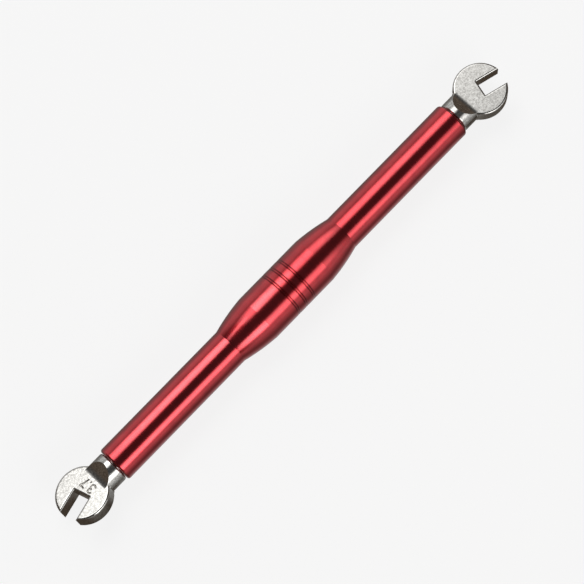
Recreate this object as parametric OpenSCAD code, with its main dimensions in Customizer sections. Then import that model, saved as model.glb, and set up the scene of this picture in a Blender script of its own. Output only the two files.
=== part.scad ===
// Double-ended spoke wrench: a turned aluminium handle with a steel jaw head
// bonded into each end. The handle's axis is X, with the wide jaw at -X and the
// narrow jaw at +X, and Z is square to the flats of the narrow jaw head.
// All sizes are in millimetres and degrees.

/* [Handle] */
// Length of the handle from end face to end face
handle_length = 97.7; // [80:0.1:140]
// Diameter of the slim barrel on either side of the grip
barrel_diameter = 8; // [7:0.1:9]
// Diameter of the swollen grip in the middle
grip_diameter = 10.7; // [9.5:0.1:14]
// Length of the straight middle of the grip
grip_straight_length = 16.3; // [12:0.1:24]
// Length of the curved taper from the grip's straight middle down to the barrel
grip_taper_length = 7.85; // [5:0.05:12]
// Share of the taper's mean slope that it has where it leaves the straight middle
taper_break = 0.5; // [0:0.05:0.8]
// Rounding of the handle's outer end edges
handle_edge_radius = 0.5; // [0.1:0.05:0.8]

/* [Grip rings] */
// Number of pairs of fine lines turned in the grip
ring_pairs = 3; // [1:1:4]
// Distance from one pair of lines to the next
ring_pitch = 2.18; // [1.5:0.01:2.6]
// Distance between the two lines of a pair
ring_spacing = 0.47; // [0.4:0.01:0.7]
// Width of one turned line, which is half as deep as it is wide
ring_width = 0.25; // [0.1:0.01:0.35]
// How far the rings sit from the grip's middle, towards the narrow jaw
ring_offset = 0.65; // [-1.5:0.05:1.5]

/* [Shank bores] */
// Diameter of a head's shank, which shows as a neck in the gap behind the collar
shank_diameter = 4.7; // [3.5:0.1:5]
// Radial room for the bonding film between a shank and its bore
bond_gap = 0.03; // [0.01:0.01:0.1]
// Depth of a handle bore from the end face to the flat floor that seats the shank
bore_depth = 16; // [10:0.5:25]
// Countersink at the mouth of a handle bore
bore_chamfer = 0.3; // [0.1:0.05:0.5]
// Diameter of the pilot drill that runs on past a bore's floor
pilot_diameter = 3; // [2:0.1:3.3]
// Distance from a bore's floor to the start of the pilot's point
pilot_depth = 1.5; // [0.5:0.1:4]
// Angle of the pilot drill's point
pilot_point_angle = 118; // [90:1:140]
// Bevel on the inner end of a shank
shank_chamfer = 0.4; // [0.1:0.05:0.6]
// Gap between the handle's end face and the back of a head's collar
collar_gap = 0.1; // [0.05:0.05:1]

/* [Heads] */
// Diameter of the round collar behind a jaw disc
collar_diameter = 7; // [6:0.1:8]
// Rounding of the collar's back edge
collar_edge_radius = 0.45; // [0.1:0.05:0.6]
// Distance from the back of the collar to the centre of the jaw disc
head_reach = 8.2; // [7.6:0.1:12]
// Diameter of the jaw disc
disc_diameter = 11.3; // [10:0.1:14]
// Thickness of the jaw disc across its flats
disc_thickness = 3.5; // [2.6:0.1:4]
// Rounding of the disc's rim
rim_radius = 0.45; // [0.1:0.05:0.8]
// Distance from the disc's centre to where a flat starts to climb to the collar
flat_reach = 3.55; // [3.2:0.05:4]
// Radius of the hollow in which a flat turns up into its ramp
ramp_radius = 3.6; // [1.5:0.1:4]
// Angle of the faint edges at which the hollow meets the flat and the ramp
hollow_edge_angle = 2.5; // [2:0.5:8]
// Slope of the ramp that climbs to the collar
ramp_angle = 37; // [32:1:60]
// Fillet in the corner between the disc's rim and the collar
shoulder_fillet = 0.4; // [0.2:0.05:1.5]
// Turn of the wide jaw head about the handle's axis, against the narrow one
head_twist = 16; // [0:1:45]

/* [Jaws] */
// Width of the wide jaw
wide_jaw = 3.7; // [3:0.05:5]
// Width of the narrow jaw
narrow_jaw = 3.4; // [3:0.05:5]
// Angle between a jaw and the handle's axis
jaw_angle = 15; // [0:1:30]
// Distance of the jaw's floor from the disc's centre, towards the mouth
jaw_floor = 0.15; // [-1.5:0.05:1.5]
// Rounding of the jaw's edges on both faces of the disc
jaw_edge_radius = 0.4; // [0.1:0.02:0.6]

/* [Hidden] */
$fn = 96;
barrel_r = barrel_diameter / 2;
grip_r = grip_diameter / 2;
shank_r = shank_diameter / 2;
bore_r = shank_r + bond_gap;
pilot_r = pilot_diameter / 2;
collar_r = collar_diameter / 2;
disc_r = disc_diameter / 2;
face_z = disc_thickness / 2;
handle_end = handle_length / 2;
grip_straight_end = grip_straight_length / 2;
// the taper is an arc that leaves the grip's straight middle at the break's angle
grip_rise = grip_r - barrel_r;
taper_slope = atan(grip_rise / grip_taper_length);
break_angle = taper_break * taper_slope;
taper_chord = sqrt(grip_taper_length ^ 2 + grip_rise ^ 2);
taper_r = taper_chord / (2 * sin(taper_slope - break_angle));
taper_centre_r = grip_r - taper_r * cos(break_angle);
taper_centre_x = grip_straight_end - taper_r * sin(break_angle);
bore_floor = handle_end - bore_depth;
pilot_end = bore_floor - pilot_depth;
pilot_tip = pilot_end - pilot_r / tan(pilot_point_angle / 2);
shank_length = bore_depth + collar_gap;
head_x = handle_end + collar_gap + head_reach;
// the hollow's centre, and the ramp's point that is nearest to it
hollow_x = -flat_reach + ramp_radius * sin(hollow_edge_angle);
hollow_z = face_z + ramp_radius * cos(hollow_edge_angle);
ramp_foot_x = hollow_x - ramp_radius * cos(hollow_edge_angle) * sin(ramp_angle);
ramp_foot_z = hollow_z - ramp_radius * cos(hollow_edge_angle) * cos(ramp_angle);
fillet_y = collar_r + shoulder_fillet;
fillet_x = sqrt((disc_r + shoulder_fillet) ^ 2 - fillet_y ^ 2);
// how far a cutter runs past the metal that it takes away
past = 1;

// radius of the grip at a distance along the handle's axis from its middle
function grip_radius_at(x) =
    abs(x) <= grip_straight_end
    ? grip_r
    : taper_centre_r + sqrt(taper_r ^ 2 - (abs(x) - taper_centre_x) ^ 2);

// a square corner less its round, which takes the sharp edge off the corner at the origin
module corner_waste(radius) {
    difference() {
        translate([-radius, -radius])
            square([radius + past, radius + past]);
        translate([-radius, -radius])
            circle(radius);
    }
}

// half of the grip's outline, radius across and axis upwards
module grip_half_profile() {
    square([grip_r, grip_straight_end]);
    intersection() {
        translate([taper_centre_r, taper_centre_x])
            circle(taper_r, $fn = 360);
        translate([0, grip_straight_end])
            square([grip_r, grip_taper_length]);
    }
}

// one bore with its countersink and the pilot's drill point, opening upwards
module bore_profile() {
    translate([0, bore_floor])
        square([bore_r, bore_depth + past]);
    translate([0, pilot_end])
        square([pilot_r, pilot_depth + past]);
    polygon([[0, pilot_tip], [pilot_r, pilot_end], [0, pilot_end]]);
    polygon([
        [0, handle_end - bore_chamfer],
        [bore_r, handle_end - bore_chamfer],
        [bore_r + bore_chamfer, handle_end],
        [0, handle_end]
    ]);
}

// the pairs of fine lines turned around the grip
module ring_profiles() {
    for (pair = [0 : ring_pairs - 1], side = [-1, 1]) {
        x = ring_offset + (pair - (ring_pairs - 1) / 2) * ring_pitch + side * ring_spacing / 2;
        translate([grip_radius_at(x), x])
            rotate(45)
                square(ring_width / sqrt(2), center = true);
    }
}

module handle() {
    color("crimson")
    rotate([0, 90, 0])
    rotate_extrude()
    difference() {
        union() {
            translate([0, -handle_end])
                square([barrel_r, handle_length]);
            for (side = [0, 1])
                mirror([0, side])
                    grip_half_profile();
        }
        for (side = [0, 1])
            mirror([0, side]) {
                bore_profile();
                translate([barrel_r, handle_end])
                    corner_waste(handle_edge_radius);
            }
        ring_profiles();
    }
}

// shank and collar as turned, with the disc's centre at the origin and the mouth at +X
module shank_and_collar() {
    rotate([0, 90, 0])
    rotate_extrude()
    difference() {
        union() {
            translate([0, -head_reach - shank_length])
                square([shank_r, shank_length + head_reach / 2]);
            translate([0, -head_reach])
                square([collar_r, head_reach]);
        }
        mirror([0, 1])
            translate([collar_r, head_reach])
                corner_waste(collar_edge_radius);
        polygon([
            [shank_r - shank_chamfer, -head_reach - shank_length],
            [shank_r + past, -head_reach - shank_length],
            [shank_r + past, -head_reach - shank_length + shank_chamfer + past]
        ]);
    }
}

// what is cut from one side of the collar to leave the flat, its hollow and the ramp
module flat_waste() {
    waste_top = max(collar_r, hollow_z) + past;
    ramp_top_x = ramp_foot_x - (waste_top - ramp_foot_z) / tan(ramp_angle);
    rotate([90, 0, 0])
    linear_extrude(collar_diameter + past, center = true) {
        polygon([
            [past, face_z],
            [past, waste_top],
            [ramp_top_x, waste_top],
            [ramp_foot_x, ramp_foot_z],
            [hollow_x, face_z]
        ]);
        translate([hollow_x, hollow_z])
            circle(ramp_radius);
    }
}

// the jaw disc, turned about Z with a rounded rim
module disc() {
    rotate_extrude()
    difference() {
        translate([0, -face_z])
            square([disc_r, disc_thickness]);
        for (side = [0, 1])
            mirror([0, side])
                translate([disc_r, face_z])
                    corner_waste(rim_radius);
    }
}

// fillet in the corner between the disc's rim and one side of the collar
module shoulder() {
    linear_extrude(disc_thickness - 2 * rim_radius, center = true)
    difference() {
        polygon([[0, 0], [-fillet_x, 0], [-fillet_x, fillet_y]]);
        translate([-fillet_x, fillet_y])
            circle(shoulder_fillet);
    }
}

// what rounding takes off both edges of a jaw wall at the origin, with the metal towards +X
module wall_edge_waste() {
    for (face = [0, 1])
        mirror([0, face])
        difference() {
            translate([0, face_z - jaw_edge_radius])
                square([jaw_edge_radius, jaw_edge_radius + past]);
            translate([jaw_edge_radius, face_z - jaw_edge_radius])
                circle(jaw_edge_radius);
        }
}

// the slot of a jaw, along +X from the disc's centre, with its rounded edges carried
// around the inner corners
module jaw_waste(width) {
    slot_length = disc_r + past - jaw_floor;
    translate([jaw_floor, 0, 0]) {
        translate([0, -width / 2, -face_z - past])
            cube([slot_length, width, disc_thickness + 2 * past]);
        for (side = [0, 1])
            mirror([0, side, 0])
            translate([0, width / 2, 0]) {
                rotate([90, 0, 90])
                linear_extrude(slot_length)
                    wall_edge_waste();
                rotate_extrude()
                    wall_edge_waste();
            }
        rotate([90, 0, 0])
        linear_extrude(width, center = true)
        mirror([1, 0])
            wall_edge_waste();
    }
}

// a whole head with its disc's centre at the origin and the jaw's mouth towards +X
module jaw_head(width) {
    color("silver")
    difference() {
        union() {
            difference() {
                shank_and_collar();
                for (side = [0, 1])
                    mirror([0, 0, side])
                        flat_waste();
            }
            disc();
            for (side = [0, 1])
                mirror([0, side, 0])
                    shoulder();
        }
        rotate([0, 0, -jaw_angle])
            jaw_waste(width);
    }
}

// the same forging as the narrow one, turned over and twisted
module wide_jaw_head() {
    rotate([head_twist, 180, 0])
        translate([head_x, 0, 0])
            jaw_head(wide_jaw);
}

module narrow_jaw_head() {
    translate([head_x, 0, 0])
        jaw_head(narrow_jaw);
}

handle();
wide_jaw_head();
narrow_jaw_head();
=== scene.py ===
import math

import bmesh
import bpy
from mathutils import Matrix, Vector


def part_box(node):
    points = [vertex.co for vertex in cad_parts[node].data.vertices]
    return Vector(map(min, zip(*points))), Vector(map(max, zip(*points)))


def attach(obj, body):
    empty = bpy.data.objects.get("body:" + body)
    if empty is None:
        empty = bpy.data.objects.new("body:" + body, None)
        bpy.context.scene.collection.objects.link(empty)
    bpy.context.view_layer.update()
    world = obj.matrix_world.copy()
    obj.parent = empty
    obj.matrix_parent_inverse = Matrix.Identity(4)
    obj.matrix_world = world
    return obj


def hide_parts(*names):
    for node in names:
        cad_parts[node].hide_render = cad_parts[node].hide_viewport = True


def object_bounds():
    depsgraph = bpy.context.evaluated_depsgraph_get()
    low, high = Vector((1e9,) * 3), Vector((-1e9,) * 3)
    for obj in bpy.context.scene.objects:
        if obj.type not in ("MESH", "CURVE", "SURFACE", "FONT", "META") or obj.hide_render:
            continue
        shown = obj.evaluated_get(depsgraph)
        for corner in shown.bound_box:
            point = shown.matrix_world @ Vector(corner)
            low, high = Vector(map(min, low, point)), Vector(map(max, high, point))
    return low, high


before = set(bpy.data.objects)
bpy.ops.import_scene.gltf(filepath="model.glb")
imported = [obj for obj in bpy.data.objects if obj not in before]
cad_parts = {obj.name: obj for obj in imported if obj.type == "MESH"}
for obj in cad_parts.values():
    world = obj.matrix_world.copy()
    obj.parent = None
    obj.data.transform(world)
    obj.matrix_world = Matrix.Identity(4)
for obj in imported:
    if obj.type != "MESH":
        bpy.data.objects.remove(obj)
cad_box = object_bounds()

# Handle: one bar of aluminium, turned to a slim barrel with a swollen grip and
# three pairs of fine rings, then dyed red and anodised. The cutter's feed leaves
# lines around the bar, and the clear oxide film lies over the dyed one.
anodised_red = (0.57, 0.029, 0.038, 1.0)
anodised_deep = (0.47, 0.020, 0.030, 1.0)
anodised_worn = (0.66, 0.12, 0.11, 1.0)
# Painted shade: the colour that the rings' grooves and the handle's other tight edges are darkened towards.
ring_painted_shade = (0.13, 0.008, 0.012, 1.0)
handle_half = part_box("handle")[1].x
film_weight = 0.85
film_roughness = 0.09
film_ior = 1.55
turning_streak = 0.5
quarter_turn = 0.25
feed_scale = 3500.0
feed_roughness = (0.19, 0.26)
feed_strength = 0.10
feed_depth = 0.00004
dye_scale = 420.0
dye_spread = (0.35, 0.65)
groove_radius = 0.00025
groove_samples = 6
groove_bend = (0.998, 0.93)
groove_shade_share = 0.65
rubbed_band = (handle_half - 0.0006, handle_half - 0.0001)
rubbed_share = 0.55
sheen_spread = (0.3, 0.7)


class NodeBench:
    """Adds nodes to one node tree, wires them, and does the sums, fades and mixes that the finishes share."""

    first_colour = 6
    second_colour = 7
    mixed_colour = 2

    def __init__(self, tree):
        self.tree = tree

    def add(self, kind, **settings):
        node = self.tree.nodes.new("ShaderNode" + kind)
        for key, value in settings.items():
            if key in node.inputs:
                node.inputs[key].default_value = value
            else:
                setattr(node, key, value)
        return node

    def wire(self, source, socket):
        self.tree.links.new(source, socket)

    def feed(self, value, socket):
        """Sets a plain number or colour on a socket, or wires an output to it."""
        if isinstance(value, (float, tuple)):
            socket.default_value = value
        else:
            self.wire(value, socket)

    def reckon(self, operation, *values, clamp=False):
        node = self.add("Math", operation=operation, use_clamp=clamp)
        for value, socket in zip(values, node.inputs):
            self.feed(value, socket)
        return node.outputs[0]

    def fade(self, value, spread, result=(0.0, 1.0), smooth=False):
        """Takes a value from one span to another, and holds it at the ends."""
        node = self.add("MapRange", interpolation_type="SMOOTHSTEP" if smooth else "LINEAR")
        self.wire(value, node.inputs["Value"])
        node.inputs["From Min"].default_value, node.inputs["From Max"].default_value = spread
        node.inputs["To Min"].default_value, node.inputs["To Max"].default_value = result
        return node.outputs["Result"]

    def mix(self, share, first, second):
        node = self.add("Mix", data_type="RGBA")
        self.wire(share, node.inputs["Factor"])
        self.feed(first, node.inputs[self.first_colour])
        self.feed(second, node.inputs[self.second_colour])
        return node.outputs[self.mixed_colour]

    def place(self, kind="Object"):
        """The point that is shaded, and the same point as separate X, Y and Z."""
        point = self.add("TexCoord").outputs[kind]
        split = self.add("SeparateXYZ")
        self.wire(point, split.inputs["Vector"])
        return point, split.outputs


def new_finish(name):
    """A named material with an empty tree, the bench for it, and the socket that its shader goes to."""
    finish = bpy.data.materials.new(name)
    finish.use_nodes = True
    finish.node_tree.nodes.clear()
    bench = NodeBench(finish.node_tree)
    return finish, bench, bench.add("OutputMaterial").inputs["Surface"]


def anodised_finish():
    finish, bench, surface = new_finish("anodised_red")
    shader = bench.add("BsdfPrincipled", Metallic=1.0, Anisotropic=turning_streak)
    shader.inputs["Anisotropic Rotation"].default_value = quarter_turn
    shader.inputs["Coat Weight"].default_value = film_weight
    shader.inputs["Coat Roughness"].default_value = film_roughness
    shader.inputs["Coat IOR"].default_value = film_ior
    bench.wire(shader.outputs["BSDF"], surface)
    around = bench.add("Tangent", direction_type="RADIAL", axis="X")
    bench.wire(around.outputs["Tangent"], shader.inputs["Tangent"])
    point, split = bench.place()
    feed = bench.add("TexNoise", noise_dimensions="1D", Scale=feed_scale, Detail=3.0, Roughness=0.6)
    bench.wire(split["X"], feed.inputs["W"])
    clouds = bench.add("TexNoise", Scale=dye_scale, Detail=4.0, Roughness=0.6)
    bench.wire(point, clouds.inputs["Vector"])
    dye = bench.fade(clouds.outputs["Fac"], dye_spread)
    dyed = bench.mix(dye, anodised_deep, anodised_red)
    # Painted shade: where the surface bends tightly, in the rings' grooves and round the edges, the dyed
    # colour is darkened.
    rounded = bench.add("Bevel", samples=groove_samples, Radius=groove_radius)
    whole = bench.add("NewGeometry")
    level = bench.add("VectorMath", operation="DOT_PRODUCT")
    bench.wire(rounded.outputs["Normal"], level.inputs[0])
    bench.wire(whole.outputs["Normal"], level.inputs[1])
    groove_shade_mask = bench.fade(level.outputs["Value"], groove_bend, (0.0, groove_shade_share))
    groove_shaded = bench.mix(groove_shade_mask, dyed, ring_painted_shade)
    rubbed = bench.fade(bench.reckon("ABSOLUTE", split["X"]), rubbed_band, (0.0, rubbed_share))
    worn = bench.mix(bench.reckon("MULTIPLY", rubbed, dye), groove_shaded, anodised_worn)
    bench.wire(worn, shader.inputs["Base Color"])
    bench.wire(bench.fade(feed.outputs["Fac"], sheen_spread, feed_roughness), shader.inputs["Roughness"])
    lines = bench.add("Bump", Strength=feed_strength, Distance=feed_depth)
    bench.wire(feed.outputs["Fac"], lines.inputs["Height"])
    bench.wire(lines.outputs["Normal"], shader.inputs["Normal"])
    return finish


def dress(piece, finish):
    if piece.data.materials:
        piece.data.materials[0] = finish
    else:
        piece.data.materials.append(finish)


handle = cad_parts["handle"]
dress(handle, anodised_finish())

# Jaw heads: drop-forged steel, ground on the flats and plated, with a collar that
# stops short of the handle and a shank bonded in its bore. The shank, seen only in
# the gap between collar and handle, is painted near black as painted shade in that gap.
# The forging's skin shows through the plating as a fine mottle.
plated_grey = (0.71, 0.70, 0.67, 1.0)
plated_shade = (0.40, 0.390, 0.370, 1.0)
# Painted shade for the gap between collar and handle, where the shank shows.
gap_painted_shade = (0.035, 0.032, 0.03, 1.0)
collar_start = handle_half + 0.00004
mottle_scale = 2500.0
mottle_spread = (0.36, 0.64)
mottle_depth = 0.000004
patch_scale = 300.0
plated_roughness = (0.13, 0.20)


def plated_finish(name, shade, grey):
    finish, bench, surface = new_finish(name)
    shader = bench.add("BsdfPrincipled", Metallic=1.0)
    bench.wire(shader.outputs["BSDF"], surface)
    point, split = bench.place()
    mottle = bench.add("TexNoise", Scale=mottle_scale, Detail=3.0, Roughness=0.7)
    bench.wire(point, mottle.inputs["Vector"])
    plating = bench.mix(bench.fade(mottle.outputs["Fac"], mottle_spread), shade, grey)
    # The shank inside the collar is painted near black: painted shade in the gap.
    gap_shade_mask = bench.reckon("LESS_THAN", bench.reckon("ABSOLUTE", split["X"]), collar_start)
    bench.wire(bench.mix(gap_shade_mask, plating, gap_painted_shade), shader.inputs["Base Color"])
    patches = bench.add("TexNoise", Scale=patch_scale, Detail=3.0, Roughness=0.5)
    bench.wire(point, patches.inputs["Vector"])
    bench.wire(bench.fade(patches.outputs["Fac"], sheen_spread, plated_roughness), shader.inputs["Roughness"])
    skin = bench.add("Bump", Strength=1.0, Distance=mottle_depth)
    bench.wire(mottle.outputs["Fac"], skin.inputs["Height"])
    bench.wire(skin.outputs["Normal"], shader.inputs["Normal"])
    return finish


plated_steel = plated_finish("plated_steel", plated_shade, plated_grey)
narrow_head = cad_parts["narrow_jaw_head"]
dress(narrow_head, plated_steel)

# Size mark: the jaw's width in millimetres, struck with round-nosed number punches
# into the wide head's upper flat between the jaw and the ramp, tops towards the jaw.
# The grooves are painted darker than the plating, as painted shade in the recesses.
millimetre = 0.001
flat_tilt = math.radians(16.0)
flat_up = Vector((0.0, math.sin(flat_tilt), math.cos(flat_tilt)))
reading = Vector((0.0, math.cos(flat_tilt), -math.sin(flat_tilt)))
digit_top = Vector((-1.0, 0.0, 0.0))
half_thickness = 0.00175
mark_centre = Vector((-0.05535, 0.0, 0.0)) + half_thickness * flat_up
punch_radius = 0.00020
punch_lift = 0.00007
punch_sides = 16
dome_angles = (85.0, 60.0, 30.0)
bow_steps = 14
# Painted shade: the struck grooves take a darker copy of the plating.
mark_groove_shade = (0.23, 0.215, 0.19, 1.0)
mark_shaded_grey = (0.43, 0.415, 0.39, 1.0)
weld_distance = 1e-7
sharp_edge = math.radians(28.0)
on_the_flat = 0.9999
same_way = 0.9


def bow(centre, radius, start, end):
    angles = [math.radians(start + (end - start) * i / bow_steps) for i in range(bow_steps + 1)]
    return [(centre[0] + radius * math.cos(a), centre[1] + radius * math.sin(a)) for a in angles]


# Strokes of the 3, the point and the 7: the digit's place in the line, and its path, in millimetres.
digit_strokes = (
    (-1.0, bow((-0.02, 0.51), 0.44, 150.0, -90.0)),
    (-1.0, bow((-0.02, -0.44), 0.51, 90.0, -150.0)),
    (0.1, [(0.0, -0.92), (0.0, -0.88)]),
    (1.0, [(-0.52, 0.95), (0.5, 0.95)]),
    (1.0, [(0.5, 0.95), (0.1, 0.1), (-0.12, -0.95)]),
)


def punch(path, name):
    """A round bar with domed ends along a path, as the nose of a punch sweeps it."""
    domes = [math.radians(a) for a in dome_angles]
    turns = [math.radians(360.0 * k / punch_sides) for k in range(punch_sides)]
    first = (path[0] - path[1]).normalized()
    last = (path[-1] - path[-2]).normalized()
    rings = [(path[0] + first * punch_radius * math.sin(a), -first, math.cos(a)) for a in domes]
    for i, point in enumerate(path):
        before, after = path[max(i - 1, 0)], path[min(i + 1, len(path) - 1)]
        rings.append((point, (after - before).normalized(), 1.0))
    rings += [(path[-1] + last * punch_radius * math.sin(a), last, math.cos(a)) for a in reversed(domes)]
    bar = bmesh.new()
    made = []
    for point, ahead, size in rings:
        side = ahead.cross(flat_up).normalized()
        rim = [side * math.cos(a) + flat_up * math.sin(a) for a in turns]
        made.append([bar.verts.new(point + punch_radius * size * out) for out in rim])
    for one, two in zip(made, made[1:]):
        for k in range(punch_sides):
            after = (k + 1) % punch_sides
            bar.faces.new((one[k], one[after], two[after], two[k]))
    bar.faces.new(list(reversed(made[0])))
    bar.faces.new(made[-1])
    bmesh.ops.recalc_face_normals(bar, faces=bar.faces)
    mesh = bpy.data.meshes.new(name)
    bar.to_mesh(mesh)
    bar.free()
    piece = bpy.data.objects.new(name, mesh)
    bpy.context.scene.collection.objects.link(piece)
    return piece


def corner_place(mesh, corner):
    """Where a face's corner lies, rounded so that the same corner is found again in another mesh."""
    where = mesh.vertices[mesh.loops[corner].vertex_index].co
    return tuple(round(c / weld_distance) for c in where)


wide_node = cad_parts["wide_jaw_head"]
blank = bmesh.new()
blank.from_mesh(wide_node.data)
bmesh.ops.remove_doubles(blank, verts=blank.verts, dist=weld_distance)
blank_mesh = bpy.data.meshes.new("wide_head_marked")
blank.to_mesh(blank_mesh)
blank.free()
wide_head = bpy.data.objects.new("wide_head_marked", blank_mesh)
bpy.context.scene.collection.objects.link(wide_head)
punches = []
for number, (along_line, stroke) in enumerate(digit_strokes):
    path = [
        mark_centre + reading * (along_line + u) * millimetre
        + digit_top * v * millimetre + flat_up * punch_lift
        for u, v in stroke
    ]
    tool = punch(path, "punch_%d" % number)
    strike = wide_head.modifiers.new("strike_%d" % number, "BOOLEAN")
    strike.operation = "DIFFERENCE"
    strike.solver = "EXACT"
    strike.object = tool
    punches.append(tool)
struck = bpy.data.meshes.new_from_object(wide_head.evaluated_get(bpy.context.evaluated_depsgraph_get()))
wide_head.modifiers.clear()
wide_head.data = struck
for tool in punches:
    bpy.data.objects.remove(tool)
struck.shade_smooth()
struck.set_sharp_from_angle(angle=sharp_edge)

# Faces left from the blank keep its shading, and those of the grooves take the painted shade.
blank_normals = {}
for face in wide_node.data.polygons:
    for corner in face.loop_indices:
        shading = wide_node.data.corner_normals[corner].vector.copy()
        meeting = blank_normals.setdefault(corner_place(wide_node.data, corner), [])
        meeting.append((face.normal.copy(), shading))
struck_normals = []
for face in struck.polygons:
    kept = False
    for corner in face.loop_indices:
        known = blank_normals.get(corner_place(struck, corner), [])
        best = max(known, key=lambda pair: pair[0].dot(face.normal), default=None)
        if face.normal.dot(flat_up) > on_the_flat:
            struck_normals.append(flat_up)
            kept = True
        elif best and best[0].dot(face.normal) > same_way:
            struck_normals.append(best[1])
            kept = True
        else:
            struck_normals.append((0.0, 0.0, 0.0))
    face.material_index = 0 if kept else 1
struck.normals_split_custom_set(struck_normals)
dress(wide_head, plated_steel)
wide_head.data.materials.append(plated_finish("mark_painted_shade", mark_groove_shade, mark_shaded_grey))
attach(wide_head, "root")
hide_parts("wide_jaw_head")

# Camera: the view is given by how the handle lies in the picture: its slant, how
# far its narrow end leans away, and how far the narrow head is rolled from the lens.
picture = 584
focal_pixels = 2201.4
film_width = 36.0
view_distance = 0.4403
handle_slant = math.radians(45.659)
handle_lean = math.radians(8.525)
head_roll = math.radians(12.083)
handle_middle_pixel = (286.18, 289.58)

along = Vector((
    math.cos(handle_slant) * math.cos(handle_lean),
    math.sin(handle_slant) * math.cos(handle_lean),
    -math.sin(handle_lean),
))
across = Vector((math.sin(handle_slant), -math.cos(handle_slant), 0.0))
towards = across.cross(along)
flats = math.cos(head_roll) * towards - math.sin(head_roll) * across
to_part = Matrix((along, flats.cross(along), flats))
middle = Vector((
    (handle_middle_pixel[0] - picture / 2) / focal_pixels,
    (picture / 2 - handle_middle_pixel[1]) / focal_pixels,
    -1.0,
)) * view_distance
camera = bpy.data.objects.new("camera", bpy.data.cameras.new("camera"))
camera.data.sensor_width = film_width
camera.data.lens = focal_pixels / picture * film_width
camera.matrix_world = Matrix.Translation(to_part @ -middle) @ to_part.to_4x4()
bpy.context.scene.collection.objects.link(camera)
bpy.context.scene.camera = camera

# Floor: a wide sheet of pale paper just under the grip. The camera sees it near white
# with the object's shadow. The metal sees a painted reflection in its place: painted
# shade, dark beside the object, grey further off and brown past the heads, set by
# distance from the handle and not traced.
paper_white = (0.985, 0.985, 0.985, 1.0)
paper_grey = (0.85, 0.85, 0.85, 1.0)
paper_glow = 0.86
shadow_side = -0.003
# Painted shade of the paper as the metal sees it, by distance from the handle's axis.
handle_painted_shade = (
    (0.004, (0.42, 0.42, 0.42, 1.0)),
    (0.0095, (0.22, 0.21, 0.20, 1.0)),
    (0.0126, (0.17, 0.16, 0.15, 1.0)),
    (0.019, (0.25, 0.245, 0.24, 1.0)),
    (0.034, (0.42, 0.415, 0.41, 1.0)),
    (0.1, (0.55, 0.55, 0.55, 1.0)),
    (0.3, (0.69, 0.69, 0.69, 1.0)),
)
head_painted_shade = (
    (0.003, (0.15, 0.135, 0.12, 1.0)),
    (0.007, (0.05, 0.037, 0.027, 1.0)),
    (0.010, (0.16, 0.145, 0.13, 1.0)),
    (0.019, (0.27, 0.265, 0.26, 1.0)),
    (0.034, (0.42, 0.415, 0.41, 1.0)),
    (0.1, (0.55, 0.55, 0.55, 1.0)),
    (0.3, (0.69, 0.69, 0.69, 1.0)),
)
shade_reach = handle_painted_shade[-1][0]
head_start = (0.046, 0.053)
head_middle = cad_box[1].x - 0.006
painted_brown_ends = (0.08, 0.061, 0.046, 1.0)
brown_spread = (0.45, 0.85)
floor_height = cad_box[0].z - 0.0002
floor_half = 3.0
corners = [(x * floor_half, y * floor_half, floor_height) for x, y in ((-1, -1), (1, -1), (1, 1), (-1, 1))]
sheet = bpy.data.meshes.new("floor")
sheet.from_pydata(corners, [], [(0, 1, 2, 3)])
floor = bpy.data.objects.new("floor", sheet)
bpy.context.scene.collection.objects.link(floor)

pale_paper, bench, surface = new_finish("pale_paper")
split = bench.place()[1]
along_x = bench.reckon("ABSOLUTE", split["X"])
past_end = bench.reckon("MAXIMUM", bench.reckon("SUBTRACT", along_x, head_middle), 0.0)
aside = bench.add("CombineXYZ")
bench.wire(past_end, aside.inputs["X"])
bench.wire(bench.reckon("SUBTRACT", split["Y"], shadow_side), aside.inputs["Y"])
apart = bench.add("VectorMath", operation="LENGTH")
bench.wire(aside.outputs[0], apart.inputs[0])
share = bench.reckon("DIVIDE", apart.outputs["Value"], shade_reach, clamp=True)
painted_shades = []
for stops in (handle_painted_shade, head_painted_shade):
    ramp = bench.add("ValToRGB")
    stop = ramp.color_ramp.elements
    stop[0].position = stops[0][0] / shade_reach
    stop[0].color = stops[0][1]
    stop[1].position = 1.0
    stop[1].color = stops[-1][1]
    for distance, colour in stops[1:-1]:
        stop.new(distance / shade_reach).color = colour
    bench.wire(share, ramp.inputs["Fac"])
    painted_shades.append(ramp.outputs["Color"])
shade = bench.mix(bench.fade(along_x, head_start, smooth=True), *painted_shades)
endways = bench.reckon("DIVIDE", past_end, apart.outputs["Value"])
painted_browned_shade = bench.mix(bench.fade(endways, brown_spread, smooth=True), shade, painted_brown_ends)
# The painted reflection: painted shade that glossy rays see in place of the paper.
painted_reflection = bench.add("Emission", Strength=1.0)
bench.wire(painted_browned_shade, painted_reflection.inputs["Color"])

paper = bench.add("BsdfDiffuse", Color=paper_grey)
glow = bench.add("Emission", Color=paper_white, Strength=1.0)
ray = bench.add("LightPath").outputs
seen = bench.reckon("MAXIMUM", ray["Is Camera Ray"], ray["Is Transmission Ray"])
lit = bench.add("MixShader")
bench.wire(bench.reckon("MULTIPLY", seen, paper_glow), lit.inputs["Fac"])
bench.wire(paper.outputs[0], lit.inputs[1])
bench.wire(glow.outputs[0], lit.inputs[2])
mixed = bench.add("MixShader")
bench.wire(ray["Is Glossy Ray"], mixed.inputs["Fac"])
bench.wire(lit.outputs[0], mixed.inputs[1])
bench.wire(painted_reflection.outputs[0], mixed.inputs[2])
bench.wire(mixed.outputs[0], surface)
dress(floor, pale_paper)

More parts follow.
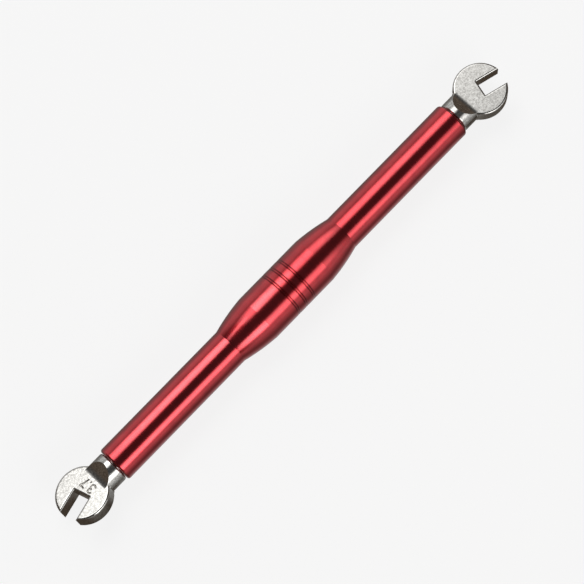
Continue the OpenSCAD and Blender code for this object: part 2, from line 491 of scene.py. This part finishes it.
# Lamps: a long softbox on either side of the camera, parallel to the handle, and a short
# one for the taper towards the wide head. Each is brightest along its middle line, and its
# light follows a list of places along the handle's axis with the level at each.
lamp_distance = 0.8
brightest = 2.0
middle_lift = 4.0
far_side_light = (
    (-0.19, 0.0), (-0.15, 0.4), (-0.1, 0.64), (-0.06, 0.66), (-0.027, 0.66), (-0.012, 1.3), (0.0, 1.55),
    (0.05, 1.6), (0.085, 1.6), (0.103, 2.0), (0.115, 1.9), (0.123, 0.62), (0.137, 0.72), (0.18, 0.74),
    (0.205, 0.9), (0.235, 0.9), (0.26, 0.8), (0.3, 0.68), (0.45, 0.7), (0.6, 0.45), (0.75, 0.1), (0.85, 0.0),
)
near_side_light = (
    (-0.32, 0.0), (-0.28, 1.4), (-0.1, 1.9), (-0.06, 1.9), (-0.03, 1.45), (0.0, 1.4), (0.046, 1.28),
    (0.069, 1.05), (0.103, 1.05), (0.114, 0.9), (0.126, 0.74), (0.17, 0.68), (0.2, 0.7), (0.228, 0.65),
    (0.25, 0.44), (0.3, 0.4), (0.45, 0.18), (0.6, 0.03), (0.75, 0.0),
)
far_end_light = ((-0.34, 0.0), (-0.29, 0.6), (-0.22, 0.9), (-0.15, 0.8), (-0.08, 0.0))
lamps = (
    ("softbox_far_side", -30.0, 0.72, 2.9, far_side_light),
    ("softbox_far_end", -27.0, 0.30, 2.4, far_end_light),
    ("softbox_near_side", 55.0, 0.52, 2.3, near_side_light),
)
for name, lean_degrees, width, radiance, light_along in lamps:
    lean = math.radians(lean_degrees)
    start, end = light_along[0][0], light_along[-1][0]
    length = end - start
    box = bpy.data.lights.new(name, "AREA")
    box.shape = "RECTANGLE"
    box.size = length
    box.size_y = width
    box.energy = radiance * math.pi * length * width
    lamp = bpy.data.objects.new(name, box)
    lamp.location = ((start + end) / 2, -lamp_distance * math.sin(lean), lamp_distance * math.cos(lean))
    lamp.rotation_euler = (lean, 0.0, 0.0)
    bpy.context.scene.collection.objects.link(lamp)
    box.use_nodes = True
    bench = NodeBench(box.node_tree)
    split = bench.add("SeparateXYZ")
    bench.wire(bench.add("NewGeometry").outputs["Parametric"], split.inputs[0])
    ramp = bench.add("FloatCurve")
    curve = ramp.mapping.curves[0]
    spread = [((x - start) / length, level / brightest) for x, level in light_along]
    curve.points[0].location = spread[0]
    curve.points[1].location = spread[-1]
    for knot in spread[1:-1]:
        curve.points.new(*knot)
    ramp.mapping.update()
    bench.wire(split.outputs["X"], ramp.inputs["Value"])
    swell = bench.reckon("MULTIPLY", split.outputs["Y"], bench.reckon("SUBTRACT", 1.0, split.outputs["Y"]))
    full = bench.reckon("MULTIPLY", swell, middle_lift * brightest)
    both = bench.reckon("MULTIPLY", full, ramp.outputs[0])
    bench.wire(both, box.node_tree.nodes["Emission"].inputs["Strength"])

# Room: dim overhead, dim and brown beyond the handle's ends, with pale walls low down
# on both sides of it. The camera sees the room as white as the paper's glow.
room_ceiling = (0.072, 0.072, 0.072, 1.0)
room_ends = (0.12, 0.093, 0.072, 1.0)
room_walls = (0.72, 0.72, 0.72, 1.0)
beside_spread = (0.6, 0.92)
onward_spread = (-0.35, -0.12)
low_spread = (0.72, 0.35)
world = bpy.data.worlds.new("studio")
bpy.context.scene.world = world
world.use_nodes = True
bench = NodeBench(world.node_tree)
split = bench.place("Generated")[1]
level_reach = bench.reckon("SQRT", bench.reckon("SUBTRACT", 1.0, bench.reckon("POWER", split["Z"], 2.0)))
sideways = bench.reckon("DIVIDE", bench.reckon("ABSOLUTE", split["Y"]), level_reach)
beside = bench.fade(sideways, beside_spread, smooth=True)
onward = bench.fade(bench.reckon("DIVIDE", split["X"], level_reach), onward_spread, smooth=True)
low = bench.fade(split["Z"], low_spread, smooth=True)
room = bench.mix(low, room_ceiling, room_ends)
room = bench.mix(bench.reckon("MULTIPLY", low, bench.reckon("MULTIPLY", beside, onward)), room, room_walls)
ray = bench.add("LightPath").outputs
room = bench.mix(ray["Is Camera Ray"], room, paper_white)
bench.wire(room, world.node_tree.nodes["Background"].inputs["Color"])

bpy.context.scene.view_settings.view_transform = "Standard"
